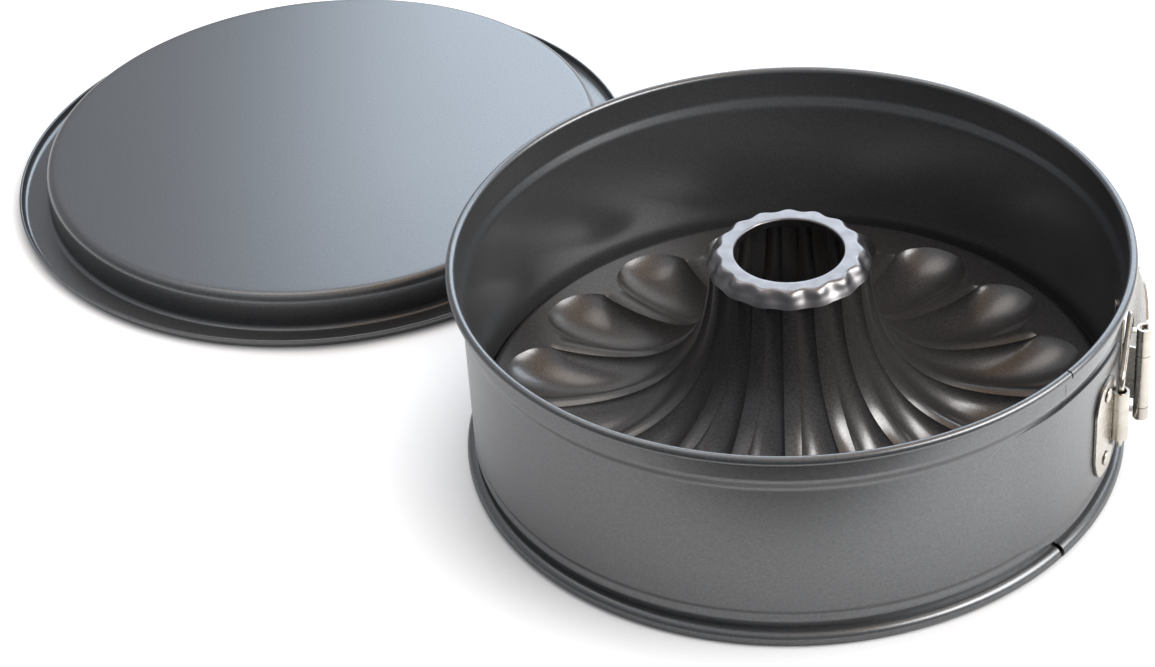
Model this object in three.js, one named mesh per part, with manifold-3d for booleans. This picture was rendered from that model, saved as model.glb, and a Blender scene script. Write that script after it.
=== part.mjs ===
// Springform bundt pan: a sprung steel band with an over-centre clasp, a fluted tube base standing in it,
// and the flat base that can take its place. Millimetres, +Z up, the table at z = 0.
import * as THREE from 'three';
import { mergeVertices } from 'three/addons/utils/BufferGeometryUtils.js';
import Module from 'manifold-3d';

// Sheet and clearances
const SHEET = 0.7;              // steel sheet of the band and of both bases
const CLASP_SHEET = 1.0;        // plated strip of the clasp
const GAP = 0.3;                // between pieces that touch
const BASE_CLEARANCE = 0.5;     // all round a base inside the band's neck

// Band
const BORE_RADIUS = 130;        // inside of the wall
const BAND_HEIGHT = 92;
const CURL_DIAMETER = 3.8;      // rolled rim
const CURL_END = 120;           // degrees below its middle where the roll ends
const SHOULDER_STEP = 2.2;      // the band under the rim stands this far outside the wall
const SHOULDER_DROP = 13;       // rim top to the upper end of the shoulder's flare
const FLARE_HEIGHT = 4.5;
const GROOVE_HEIGHT = 13.2;     // shallow groove pressed in near the foot
const GROOVE_DEPTH = 0.45;
const GROOVE_HALF_WIDTH = 2.6;
const WALL_FOOT = 9.3;          // lower corner of the wall, above the neck
const NECK_TOP = 8.5;
const NECK_FOOT = 6.1;
const NECK_DEPTH = 1.2;         // the neck lies this far inside the wall
const CHANNEL_HEIGHT = 5.7;     // half-round channel round the foot
const CHANNEL_BULGE = 3.35;     // its centre line beyond the wall's
const CHANNEL_LIP_ANGLE = 62;   // degrees below its middle where the lower lip ends
const CHANNEL_TOP_ANGLE = 78;   // degrees above its middle where it runs into the neck

// Seam and tongue, azimuths in degrees from +X
const SEAM_AZIMUTH = -40.3;
const SEAM_GAP = 0.3;           // degrees between the two ends of the rim and of the channel
const TONGUE_END = -16;
const TONGUE_JOGGLE = 6;        // degrees over which the tongue steps outwards
const TONGUE_EDGE = 1.0;        // edges of the tongue clear of flare, groove and wall foot
const TONGUE_TAPER = 6;         // the tongue narrows by this at either edge

// Bases
const FLOOR_RISE = 18;          // flat top of either base
const EDGE_RADIUS = 4;          // rounded edge of either base
const GUTTER_REACH = 14.3;      // drip rim of the flat base beyond its side
const GUTTER_LIP_HEIGHT = 4.6;
const GUTTER_FILLET = 2.4;
const GUTTER_LIP_LEAN = 15;     // degrees short of upright where the gutter meets its lip
const LIP_ROLL = 1.2;           // outward fold of the drip rim

// Tube with flutes that open into petals
const FLUTES = 16;
const PETAL_AZIMUTH = 11;       // one petal's middle
const TUBE_HEIGHT = 90;         // top of the collar
const TUBE_RIDGE_RADIUS = 30;   // ridge between flutes, at the top
const FLUTE_DEPTH = 2.6;        // at the top
const PETAL_DEPTH = 10;         // below the flat annulus
const PETAL_TIP_MARGIN = 3.8;   // petal tip to the start of the rounded edge
const RIDGE_TIP_MARGIN = 17.5;    // ridge end to the start of the rounded edge
const RIDGE_DEPTH = 1.5;        // ridge's foot below the flat annulus
const RIDGE_REACH = 22;         // how far a ridge's foot swings outwards
const VALLEY_REACH = 30;
const TRUMPET_LEAN = 0.12;      // of the reach: the tube's lean on its way down
const TRUMPET_LEAN_HEIGHT = 0.42;  // of the tube's height: where it leans by that much
const TRUMPET_SAG = 0.35;       // of the dip: the curve's pull below the dip's floor
const UPTURN_BACK = 0.9;        // of the dip: start of the upturned tip, back from its end
const UPTURN_RISE = 0.15;       // and its height above the dip's floor
const TIP_BACK = 0.2;           // of the dip: the upturn's pull, back from its end
const TIP_RISE = 0.35;

// Collar crimped over the tube
const HOLE_RADIUS = 22;
const COLLAR_HEIGHT = 5.4;
const COLLAR_FLARE = 1.1;
const COLLAR_INNER_LIP = 3.2;

// Flat base beside the pan
const FLAT_BASE_X = -215;
const FLAT_BASE_Y = 207;

// Clasp
const CLASP_HEIGHT = 40.8;      // middle of the clasp above the table
const WIRE_DIAMETER = 2.5;
const PIN_DIAMETER = 2.5;
const CATCH_AZIMUTH = -24.5;    // middle of the catch plate
const CATCH_HALF_WIDTH = 4.6;   // degrees
const CATCH_HALF_HEIGHT = 21.8;
const CATCH_TAPER = 0.5;        // share of its height that the plate loses towards its edges
const CATCH_ROUNDING = 4;       // power of that taper
const CATCH_BARREL_OFFSET = 4.2;  // degrees from the plate's middle
const CATCH_BARREL_DIAMETER = 6.6;
const CATCH_BARREL_HEIGHT = 22.3;
const HINGE_AZIMUTH = -8.4;     // pin of the lever
const HINGE_STANDOFF = 9.1;     // pin axis outside the wall
const HINGE_BARREL_DIAMETER = 6.2;
const HINGE_HEIGHT = 43.6;
const LEVER_KNUCKLE_UPPER = 12.5;
const LEVER_KNUCKLE_LOWER = 5.6;
const BRACKET_START = 2.4;      // degrees from the pin
const BRACKET_END = 17;
const BRACKET_HALF_HEIGHT = 21;
const BRACKET_TAPER = 0.7;      // share of its height that the bracket loses towards its end
const LEVER_START = 1.8;        // degrees from the pin
const LEVER_END = 22;
const LEVER_HALF_HEIGHT = 25;
const LEVER_NECK_HALF = 19.2;   // half height of the handle at its knuckles
const LEVER_WIDEST = 0.55;      // share of its length where the handle is widest
const LEVER_TIP_SHARE = 0.3;    // height left at its tip
const LEVER_SEAT = 0.4;         // handle's inner face outside the pin's axis
const LEVER_TIP_LIFT = 1.8;
const LEVER_LIFT_START = 0.6;   // share of its length where the tip starts to lift
const HOOK_AZIMUTH = 2.6;       // degrees from the pin to the wire's end
const HOOK_DEPTH = 7.1;         // hook inwards from the pin's axis
const HOOK_WIDTH = 2.6;
const HOOK_PLAY = 2.6;          // free play that lets the lever pass its dead centre
const HOOK_INSET = 2.4;         // hook below the lever's knuckle end
const WIRE_STANDOFF = 3.5;      // wire's ends outside the wall
const WIRE_RISE = 3.9;          // wire runs past the hinge's ends by this much
const WIRE_BEND = 5;            // rounding of its corners
const WIRE_END = 9;             // length of its turned ends
const RIVET_DIAMETER = 3;
const RIVET_HEAD = 6;
const RIVET_DOME = 1.3;
const RIVET_EDGE = 0.3;         // edge of the head under its dome
const RIVET_INNER_HEAD = 5.2;
const RIVET_INNER_THICKNESS = 0.6;
const RIVET_SPACING = 30.6;
const BRACKET_RIVET_AZIMUTH = 10;  // degrees from the pin

// Facets
const MERGE_DISTANCE = 1e-3;
const MITRE_FLOOR = 0.5;
const RING_STEPS = 54;
const JOGGLE_STEPS = 3;
const TONGUE_STEPS = 5;
const CATCH_STEPS = 10;
const BRACKET_STEPS = 8;
const LEVER_STEPS = 14;
const DOME_STEPS = 3;
const TRUMPET_SHARES = [0, 0.1, 0.24, 0.4, 0.56, 0.7, 0.84, 1];
const CHANNEL_STEPS = 4;
const CURL_STEPS = 6;
const EDGE_STEPS = 2;
const FLUTE_STEPS = 6;
const LOBE_STEPS = 4;
const ROD_SIDES = 8;
const ROD_STEPS = 40;
const BARREL_SIDES = 14;
const RIVET_SIDES = 10;

const wasm = await Module();
wasm.setup();

// Booleans on geometries

function manifoldOf(geometry) {
  const bare = geometry.clone();
  bare.deleteAttribute('normal');
  bare.deleteAttribute('uv');
  const merged = mergeVertices(bare, MERGE_DISTANCE);
  return new wasm.Manifold(new wasm.Mesh({
    numProp: 3,
    vertProperties: new Float32Array(merged.attributes.position.array),
    triVerts: new Uint32Array(merged.index.array),
  }));
}

function geometryOf(manifold) {
  const mesh = manifold.getMesh();
  const geometry = new THREE.BufferGeometry();
  geometry.setAttribute('position', new THREE.BufferAttribute(new Float32Array(mesh.vertProperties), 3));
  geometry.setIndex(new THREE.BufferAttribute(new Uint32Array(mesh.triVerts), 1));
  return geometry;
}

function join(first, ...others) {
  return geometryOf(others.reduce((body, other) => body.add(manifoldOf(other)), manifoldOf(first)));
}

function cut(first, ...tools) {
  return geometryOf(tools.reduce((body, tool) => body.subtract(manifoldOf(tool)), manifoldOf(first)));
}

// Shapes round the pan's axis: section points are [radius, height]

const radians = THREE.MathUtils.degToRad;

function polar(radius, azimuth, height) {
  return new THREE.Vector3(radius * Math.cos(radians(azimuth)), radius * Math.sin(radians(azimuth)), height);
}

function range(count, from, to) {
  return Array.from({ length: count + 1 }, (_, i) => from + (to - from) * i / count);
}

function arc(centreR, centreZ, radiusR, radiusZ, from, to, steps) {
  return range(steps, from, to).map((angle) => [
    centreR + radiusR * Math.cos(radians(angle)),
    centreZ + radiusZ * Math.sin(radians(angle)),
  ]);
}

// Carries a line sideways by a distance, to the left of its direction, with mitred corners
function offsetLine(line, distance) {
  const points = line.map(([r, z]) => new THREE.Vector2(r, z));
  return points.map((point, i) => {
    const before = points[Math.max(i - 1, 0)];
    const after = points[Math.min(i + 1, points.length - 1)];
    const a = point.clone().sub(before).normalize();
    const b = after.clone().sub(point).normalize();
    const along = a.clone().add(b).normalize();
    const edge = a.lengthSq() > 0 ? a : b;
    const mitre = distance / Math.max(along.dot(edge), MITRE_FLOOR);
    return [point.x - along.y * mitre, point.y + along.x * mitre];
  });
}

// A strip of sheet whose middle follows the line
function sheetAlong(line, thickness) {
  const half = thickness / 2;
  return [...offsetLine(line, -half), ...offsetLine(line, half).reverse()];
}

function counterClockwise(section) {
  const area = THREE.ShapeUtils.area(section.map(([r, z]) => new THREE.Vector2(r, z)));
  return area < 0 ? section.slice().reverse() : section;
}

// Sweeps a section, which may change with the azimuth, round the axis; open sweeps get end caps
function sweepAround(azimuths, sectionAt, closed) {
  const sections = azimuths.map((azimuth) => counterClockwise(sectionAt(azimuth)));
  const size = sections[0].length;
  const position = sections.flatMap((section, i) => (
    section.flatMap(([r, z]) => polar(r, azimuths[i], z).toArray())
  ));
  const index = [];
  const spans = closed ? sections.length : sections.length - 1;
  for (let i = 0; i < spans; i += 1) {
    const here = i * size;
    const next = ((i + 1) % sections.length) * size;
    for (let j = 0; j < size; j += 1) {
      const k = (j + 1) % size;
      index.push(here + j, next + j, here + k, next + j, next + k, here + k);
    }
  }
  if (!closed) {
    const last = (sections.length - 1) * size;
    const flat = (section) => section.map(([r, z]) => new THREE.Vector2(r, z));
    for (const [a, b, c] of THREE.ShapeUtils.triangulateShape(flat(sections[0]), [])) {
      index.push(a, b, c);
    }
    for (const [a, b, c] of THREE.ShapeUtils.triangulateShape(flat(sections.at(-1)), [])) {
      index.push(last + a, last + c, last + b);
    }
  }
  const geometry = new THREE.BufferGeometry();
  geometry.setAttribute('position', new THREE.Float32BufferAttribute(position, 3));
  geometry.setIndex(index);
  return geometry;
}

function fullTurn(steps) {
  return range(steps, 0, 360).slice(0, steps);
}

// Clasp shapes: upright prisms and barrels in a frame at one azimuth, x outwards and y along the band

function localPoint(azimuth, radius, out, along) {
  return polar(radius + out, azimuth, 0).add(polar(along, azimuth + 90, 0));
}

function prism(azimuth, radius, corners, low, high) {
  const shape = new THREE.Shape(corners.map(([out, along]) => {
    const point = localPoint(azimuth, radius, out, along);
    return new THREE.Vector2(point.x, point.y);
  }));
  return new THREE.ExtrudeGeometry(shape, { depth: high - low, bevelEnabled: false }).translate(0, 0, low);
}

function ringShape(outer, inner) {
  const shape = new THREE.Shape().absarc(0, 0, outer, 0, 2 * Math.PI);
  shape.holes.push(new THREE.Path().absarc(0, 0, inner, 0, 2 * Math.PI));
  return shape;
}

function barrel(axis, outer, inner, low, high) {
  const options = { depth: high - low, bevelEnabled: false, curveSegments: BARREL_SIDES };
  return new THREE.ExtrudeGeometry(ringShape(outer, inner), options).translate(axis.x, axis.y, low);
}

// A plate bent to the band: inner radius and half height may change along it
function bentPlate(from, to, steps, innerAt, halfHeightAt) {
  const sectionAt = (azimuth) => {
    const share = (azimuth - from) / (to - from);
    const inner = innerAt(share);
    const half = halfHeightAt(share);
    const outer = inner + CLASP_SHEET;
    return [
      [inner, CLASP_HEIGHT - half], [outer, CLASP_HEIGHT - half],
      [outer, CLASP_HEIGHT + half], [inner, CLASP_HEIGHT + half],
    ];
  };
  return sweepAround(range(steps, from, to), sectionAt, false);
}

// A turned piece whose own axis points outwards at one azimuth
function radialLathe(profile, azimuth, height) {
  const points = profile.map(([r, out]) => new THREE.Vector2(r, out));
  const geometry = new THREE.LatheGeometry(points, RIVET_SIDES);
  return geometry.rotateZ(-Math.PI / 2).rotateZ(radians(azimuth)).translate(0, 0, height);
}

function radialHole(azimuth, height, from, to) {
  const radius = RIVET_HOLE / 2;
  return radialLathe([[0, from], [radius, from], [radius, to], [0, to]], azimuth, height);
}

// Radii that the pieces share
const WALL_OUTER = BORE_RADIUS + SHEET;
const WALL_MIDDLE = BORE_RADIUS + SHEET / 2;
const SIDE_RADIUS = BORE_RADIUS - NECK_DEPTH - BASE_CLEARANCE;
const CHANNEL_MOUTH = WALL_MIDDLE + CHANNEL_BULGE * Math.cos(radians(CHANNEL_LIP_ANGLE)) - SHEET;
const FOOT_RADIUS = CHANNEL_MOUTH - BASE_CLEARANCE;
const TONGUE_INNER = WALL_OUTER + GAP;
const TONGUE_OUTER = TONGUE_INNER + SHEET;
const CATCH_INNER = TONGUE_OUTER + GAP;
const CATCH_OUTER = CATCH_INNER + CLASP_SHEET;
const BRACKET_INNER = WALL_OUTER + GAP;
const BRACKET_OUTER = BRACKET_INNER + CLASP_SHEET;
const BRACKET_RIVETS = HINGE_AZIMUTH + BRACKET_RIVET_AZIMUTH;
const HINGE_RADIUS = WALL_OUTER + HINGE_STANDOFF;
const FLARE_TOP = BAND_HEIGHT - SHOULDER_DROP;
const FLARE_FOOT = FLARE_TOP - FLARE_HEIGHT;
const RIVET_HOLE = RIVET_DIAMETER + 2 * GAP;
const RIVET_HEIGHTS = {
  upper: CLASP_HEIGHT + RIVET_SPACING / 2,
  lower: CLASP_HEIGHT - RIVET_SPACING / 2,
};

// Band: one strip of sheet from the channel's lip to the end of the rolled rim
function bandLine() {
  const curl = (CURL_DIAMETER - SHEET) / 2;
  const shoulder = WALL_MIDDLE + SHOULDER_STEP;
  const middle = SHEET / 2 + CHANNEL_HEIGHT / 2 * Math.sin(radians(CHANNEL_LIP_ANGLE));
  const height = CHANNEL_HEIGHT / 2;
  const channel = arc(
    WALL_MIDDLE, middle, CHANNEL_BULGE, height, -CHANNEL_LIP_ANGLE, CHANNEL_TOP_ANGLE, CHANNEL_STEPS,
  );
  return [
    ...channel,
    [WALL_MIDDLE - NECK_DEPTH, NECK_FOOT],
    [WALL_MIDDLE - NECK_DEPTH, NECK_TOP],
    [WALL_MIDDLE, WALL_FOOT],
    [WALL_MIDDLE, GROOVE_HEIGHT - GROOVE_HALF_WIDTH],
    [WALL_MIDDLE - GROOVE_DEPTH, GROOVE_HEIGHT],
    [WALL_MIDDLE, GROOVE_HEIGHT + GROOVE_HALF_WIDTH],
    [WALL_MIDDLE, FLARE_FOOT],
    [shoulder, FLARE_TOP],
    ...arc(shoulder + curl, BAND_HEIGHT - CURL_DIAMETER / 2, curl, curl, 180, -CURL_END, CURL_STEPS),
  ];
}

// The tongue carries on from the band's left end, outside its right end, without rim and channel
function tongue() {
  const start = SEAM_AZIMUTH - TONGUE_JOGGLE;
  const sectionAt = (azimuth) => {
    const stepped = THREE.MathUtils.smoothstep(azimuth, start, SEAM_AZIMUTH);
    const share = Math.max(0, (azimuth - SEAM_AZIMUTH) / (TONGUE_END - SEAM_AZIMUTH));
    const inner = THREE.MathUtils.lerp(BORE_RADIUS, TONGUE_INNER, stepped);
    const foot = THREE.MathUtils.lerp(GROOVE_HEIGHT + GROOVE_HALF_WIDTH, WALL_FOOT, stepped);
    const low = foot + TONGUE_EDGE + TONGUE_TAPER * share ** 2;
    const high = FLARE_FOOT - TONGUE_EDGE - TONGUE_TAPER * share ** 2;
    return [[inner, low], [inner + SHEET, low], [inner + SHEET, high], [inner, high]];
  };
  const joggle = range(JOGGLE_STEPS, start, SEAM_AZIMUTH);
  const overlap = range(TONGUE_STEPS, SEAM_AZIMUTH, TONGUE_END);
  return sweepAround([...joggle, ...overlap.slice(1)], sectionAt, false);
}

function band() {
  const section = sheetAlong(bandLine(), SHEET);
  const from = SEAM_AZIMUTH + SEAM_GAP / 2;
  const to = SEAM_AZIMUTH + 360 - SEAM_GAP / 2;
  const strip = sweepAround(range(RING_STEPS, from, to), () => section, false);
  const whole = join(strip, tongue());
  const holes = Object.values(RIVET_HEIGHTS).flatMap((height) => [
    radialHole(CATCH_AZIMUTH, height, TONGUE_INNER - GAP / 2, TONGUE_OUTER + GAP / 2),
    radialHole(BRACKET_RIVETS, height, BORE_RADIUS - SHEET, WALL_OUTER + GAP / 2),
  ]);
  return cut(whole, ...holes);
}

// Fluted tube base: ridges and valleys are two profiles, and each azimuth lies between them

const EDGE_START = SIDE_RADIUS - EDGE_RADIUS;
const TUBE_TOP = TUBE_HEIGHT - SHEET - GAP;

function tubeProfile(topRadius, footReach, floorDip, tipRadius) {
  const low = FLOOR_RISE - floorDip;
  const bend = new THREE.Vector2(tipRadius - floorDip * UPTURN_BACK, low + floorDip * UPTURN_RISE);
  const trumpet = new THREE.CubicBezierCurve(
    new THREE.Vector2(topRadius, TUBE_TOP),
    new THREE.Vector2(topRadius + footReach * TRUMPET_LEAN, TUBE_TOP * TRUMPET_LEAN_HEIGHT),
    new THREE.Vector2(topRadius + footReach, low - floorDip * TRUMPET_SAG),
    bend,
  );
  const tip = new THREE.QuadraticBezierCurve(
    bend,
    new THREE.Vector2(tipRadius - floorDip * TIP_BACK, low + floorDip * TIP_RISE),
    new THREE.Vector2(tipRadius, FLOOR_RISE),
  );
  const points = [...TRUMPET_SHARES.map((share) => trumpet.getPoint(share)), ...tip.getPoints(2).slice(1)];
  return points.map((point) => [point.x, point.y]);
}

const VALLEY_RADIUS = TUBE_RIDGE_RADIUS - FLUTE_DEPTH;
const RIDGE_TIP = EDGE_START - RIDGE_TIP_MARGIN;
const PETAL_TIP = EDGE_START - PETAL_TIP_MARGIN;
const RIDGE_PROFILE = tubeProfile(TUBE_RIDGE_RADIUS, RIDGE_REACH, RIDGE_DEPTH, RIDGE_TIP);
const VALLEY_PROFILE = tubeProfile(VALLEY_RADIUS, VALLEY_REACH, PETAL_DEPTH, PETAL_TIP);

function fluteShare(azimuth) {
  return 1 - Math.abs(Math.cos(radians((azimuth - PETAL_AZIMUTH) * FLUTES / 2)));
}

function baseSide() {
  return [
    ...arc(EDGE_START, FLOOR_RISE - EDGE_RADIUS, EDGE_RADIUS, EDGE_RADIUS, 90, 0, EDGE_STEPS),
    [SIDE_RADIUS, SHEET],
  ];
}

function bundtBase() {
  const side = baseSide();
  const sectionAt = (azimuth) => {
    const share = fluteShare(azimuth);
    const fluted = VALLEY_PROFILE.map(([r, z], i) => [
      THREE.MathUtils.lerp(r, RIDGE_PROFILE[i][0], share),
      THREE.MathUtils.lerp(z, RIDGE_PROFILE[i][1], share),
    ]);
    const top = [...fluted, ...side];
    const under = offsetLine(top, -SHEET);
    under[0] = [top[0][0] - SHEET, top[0][1]];
    under[under.length - 1] = [SIDE_RADIUS - SHEET, 0];
    return [...top, [FOOT_RADIUS, SHEET], [FOOT_RADIUS, 0], ...under.reverse()];
  };
  const azimuths = fullTurn(FLUTES * FLUTE_STEPS).map((azimuth) => azimuth + PETAL_AZIMUTH);
  return sweepAround(azimuths, sectionAt, true);
}

// Collar: an inverted channel over the tube's end, its skirt pressed into the flutes
function tubeCollar() {
  const sectionAt = (azimuth) => {
    const flute = THREE.MathUtils.lerp(VALLEY_RADIUS, TUBE_RIDGE_RADIUS, fluteShare(azimuth));
    const skirt = flute + GAP + SHEET / 2;
    const line = [
      [HOLE_RADIUS + SHEET / 2, TUBE_HEIGHT - COLLAR_INNER_LIP],
      [HOLE_RADIUS + SHEET / 2, TUBE_HEIGHT - SHEET],
      [HOLE_RADIUS + SHEET, TUBE_HEIGHT - SHEET / 2],
      [skirt - SHEET / 2, TUBE_HEIGHT - SHEET / 2],
      [skirt, TUBE_HEIGHT - SHEET],
      [skirt + COLLAR_FLARE, TUBE_HEIGHT - COLLAR_HEIGHT],
    ];
    return sheetAlong(line, SHEET);
  };
  const azimuths = fullTurn(FLUTES * LOBE_STEPS).map((azimuth) => azimuth + PETAL_AZIMUTH);
  return sweepAround(azimuths, sectionAt, true);
}

// Flat base: the same edge and side, then a gutter and a drip rim outside the band
function flatBase() {
  const lip = SIDE_RADIUS + GUTTER_REACH - LIP_ROLL;
  const fillet = (r, from, to) => (
    arc(r, SHEET + GUTTER_FILLET, GUTTER_FILLET, GUTTER_FILLET, from, to, EDGE_STEPS)
  );
  const top = [
    [0, FLOOR_RISE],
    ...baseSide().slice(0, -1),
    ...fillet(SIDE_RADIUS + GUTTER_FILLET, 180, 270),
    ...fillet(lip - GUTTER_FILLET, 270, 360 - GUTTER_LIP_LEAN),
    [lip, GUTTER_LIP_HEIGHT],
    [lip + LIP_ROLL, GUTTER_LIP_HEIGHT],
    [lip + LIP_ROLL, GUTTER_LIP_HEIGHT - 2 * SHEET],
  ];
  const under = offsetLine(top, -SHEET);
  under[0] = [0, FLOOR_RISE - SHEET];
  const profile = [...top, ...under.reverse()].reverse();
  const points = profile.map(([r, z]) => new THREE.Vector2(r, z));
  return new THREE.LatheGeometry(points, RING_STEPS).rotateX(Math.PI / 2);
}

// Clasp

const CATCH_BARREL_RADIUS = CATCH_INNER + CATCH_BARREL_DIAMETER / 2;
const CATCH_AXIS_AZIMUTH = CATCH_AZIMUTH + CATCH_BARREL_OFFSET;
const CATCH_AXIS = polar(CATCH_BARREL_RADIUS, CATCH_AXIS_AZIMUTH, 0);
const HINGE_AXIS = polar(HINGE_RADIUS, HINGE_AZIMUTH, 0);
const HINGE_LOW = CLASP_HEIGHT - HINGE_HEIGHT / 2;
const HINGE_HIGH = CLASP_HEIGHT + HINGE_HEIGHT / 2;
const BRACKET_KNUCKLE_LOW = HINGE_LOW + LEVER_KNUCKLE_LOWER + GAP;
const BRACKET_KNUCKLE_HIGH = HINGE_HIGH - LEVER_KNUCKLE_UPPER - GAP;
const PIN_BORE = PIN_DIAMETER / 2 + GAP;
const HINGE_OUTER = HINGE_BARREL_DIAMETER / 2;
const LEVER_INNER = HINGE_RADIUS + LEVER_SEAT;
const WIRE_RADIUS = WALL_OUTER + WIRE_STANDOFF;

// Leaf-shaped plate on the tongue, one edge rolled into an eye for the wire
function catchPlate() {
  const leaf = bentPlate(
    CATCH_AZIMUTH - CATCH_HALF_WIDTH,
    CATCH_AZIMUTH + CATCH_HALF_WIDTH,
    CATCH_STEPS,
    () => CATCH_INNER,
    (share) => CATCH_HALF_HEIGHT * (1 - CATCH_TAPER * Math.abs(2 * share - 1) ** CATCH_ROUNDING),
  );
  const half = CATCH_BARREL_HEIGHT / 2;
  const outer = CATCH_BARREL_DIAMETER / 2;
  const bore = WIRE_DIAMETER / 2 + GAP;
  const eye = barrel(CATCH_AXIS, outer, bore, CLASP_HEIGHT - half, CLASP_HEIGHT + half);
  const holes = Object.values(RIVET_HEIGHTS).map((height) => (
    radialHole(CATCH_AZIMUTH, height, CATCH_INNER - GAP, CATCH_OUTER + GAP)
  ));
  return cut(join(leaf, eye), ...holes);
}

// Rivet: flush or headed inside, domed outside
function rivet(azimuth, height, from, seat, headedInside) {
  const shank = RIVET_DIAMETER / 2;
  const head = RIVET_HEAD / 2;
  const inner = RIVET_INNER_HEAD / 2;
  const foot = from - RIVET_INNER_THICKNESS;
  const start = headedInside
    ? [[0, foot], [inner, foot], [inner, from], [shank, from]]
    : [[0, from], [shank, from]];
  const dome = range(DOME_STEPS, 0, 90).map((angle) => [
    head * Math.cos(radians(angle)),
    seat + RIVET_EDGE + (RIVET_DOME - RIVET_EDGE) * Math.sin(radians(angle)),
  ]);
  dome.at(-1)[0] = 0;
  return radialLathe([...start, [shank, seat], [head, seat], ...dome], azimuth, height);
}

// Bracket on the band's right end: leaf, upright web and the middle knuckle
function hingeBracket() {
  const from = HINGE_AZIMUTH + BRACKET_START;
  const to = HINGE_AZIMUTH + BRACKET_END;
  const halfHeight = (share) => BRACKET_HALF_HEIGHT * (1 - BRACKET_TAPER * share ** 2);
  const leaf = bentPlate(from, to, BRACKET_STEPS, () => BRACKET_INNER, halfHeight);
  const knuckle = barrel(HINGE_AXIS, HINGE_OUTER, PIN_BORE, BRACKET_KNUCKLE_LOW, BRACKET_KNUCKLE_HIGH);
  const webInner = BRACKET_INNER + CLASP_SHEET / 2 - HINGE_RADIUS;
  const webRoot = HINGE_RADIUS * radians(BRACKET_START) + CLASP_SHEET;
  const web = prism(HINGE_AZIMUTH, HINGE_RADIUS, [
    [0, HINGE_OUTER - CLASP_SHEET], [webInner, webRoot - CLASP_SHEET],
    [webInner, webRoot], [0, HINGE_OUTER],
  ], BRACKET_KNUCKLE_LOW, BRACKET_KNUCKLE_HIGH);
  const holes = Object.values(RIVET_HEIGHTS).map((height) => (
    radialHole(BRACKET_RIVETS, height, BRACKET_INNER - GAP, BRACKET_OUTER + GAP)
  ));
  return cut(join(leaf, web, knuckle), ...holes);
}

// Half height of the handle along its length: a leaf with a rounded tip
function leverHalfHeight(share) {
  if (share < LEVER_WIDEST) {
    const swell = Math.sin(radians(90 * share / LEVER_WIDEST));
    return THREE.MathUtils.lerp(LEVER_NECK_HALF, LEVER_HALF_HEIGHT, swell);
  }
  const rounding = (share - LEVER_WIDEST) / (1 - LEVER_WIDEST);
  return LEVER_HALF_HEIGHT * Math.sqrt(1 - (1 - LEVER_TIP_SHARE ** 2) * rounding ** 2);
}

// Lever: leaf handle, two knuckles, and two hooks that reach in behind the wire's ends
function claspLever() {
  const lift = (share) => Math.max(0, (share - LEVER_LIFT_START) / (1 - LEVER_LIFT_START)) ** 2;
  const handle = bentPlate(
    HINGE_AZIMUTH + LEVER_START,
    HINGE_AZIMUTH + LEVER_END,
    LEVER_STEPS,
    (share) => LEVER_INNER + LEVER_TIP_LIFT * lift(share),
    leverHalfHeight,
  );
  const seat = HINGE_OUTER - CLASP_SHEET;
  const reach = HINGE_RADIUS * radians(LEVER_START) + CLASP_SHEET;
  const spans = [
    [HINGE_HIGH - LEVER_KNUCKLE_UPPER, HINGE_HIGH],
    [HINGE_LOW, HINGE_LOW + LEVER_KNUCKLE_LOWER],
  ];
  const knuckles = spans.flatMap(([low, high]) => [
    barrel(HINGE_AXIS, HINGE_OUTER, PIN_BORE, low, high),
    prism(HINGE_AZIMUTH, HINGE_RADIUS, [
      [LEVER_SEAT, seat], [LEVER_SEAT + CLASP_SHEET, seat],
      [LEVER_SEAT + CLASP_SHEET, reach], [LEVER_SEAT, reach],
    ], Math.max(low, CLASP_HEIGHT - LEVER_NECK_HALF), Math.min(high, CLASP_HEIGHT + LEVER_NECK_HALF)),
  ]);
  const wireSide = WIRE_RADIUS * Math.sin(radians(HOOK_AZIMUTH)) - WIRE_DIAMETER / 2 - HOOK_PLAY;
  const hookRoot = -(HINGE_OUTER + PIN_BORE) / 2;
  const hookCorners = [
    [-HOOK_DEPTH, wireSide - HOOK_WIDTH], [-HOOK_DEPTH, wireSide],
    [hookRoot, wireSide], [hookRoot, wireSide - HOOK_WIDTH],
  ];
  const hooks = [HINGE_HIGH - HOOK_INSET, HINGE_LOW + HOOK_INSET].map((middle) => (
    prism(HINGE_AZIMUTH, HINGE_RADIUS, hookCorners, middle - CLASP_SHEET / 2, middle + CLASP_SHEET / 2)
  ));
  return join(handle, ...knuckles, ...hooks);
}

// Pin held in the knuckles, a little short of their ends
function hingePin() {
  const length = HINGE_HEIGHT - 2 * CLASP_SHEET;
  const pin = new THREE.CylinderGeometry(PIN_DIAMETER / 2, PIN_DIAMETER / 2, length, 2 * ROD_SIDES);
  return pin.rotateX(Math.PI / 2).translate(HINGE_AXIS.x, HINGE_AXIS.y, CLASP_HEIGHT);
}

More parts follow.
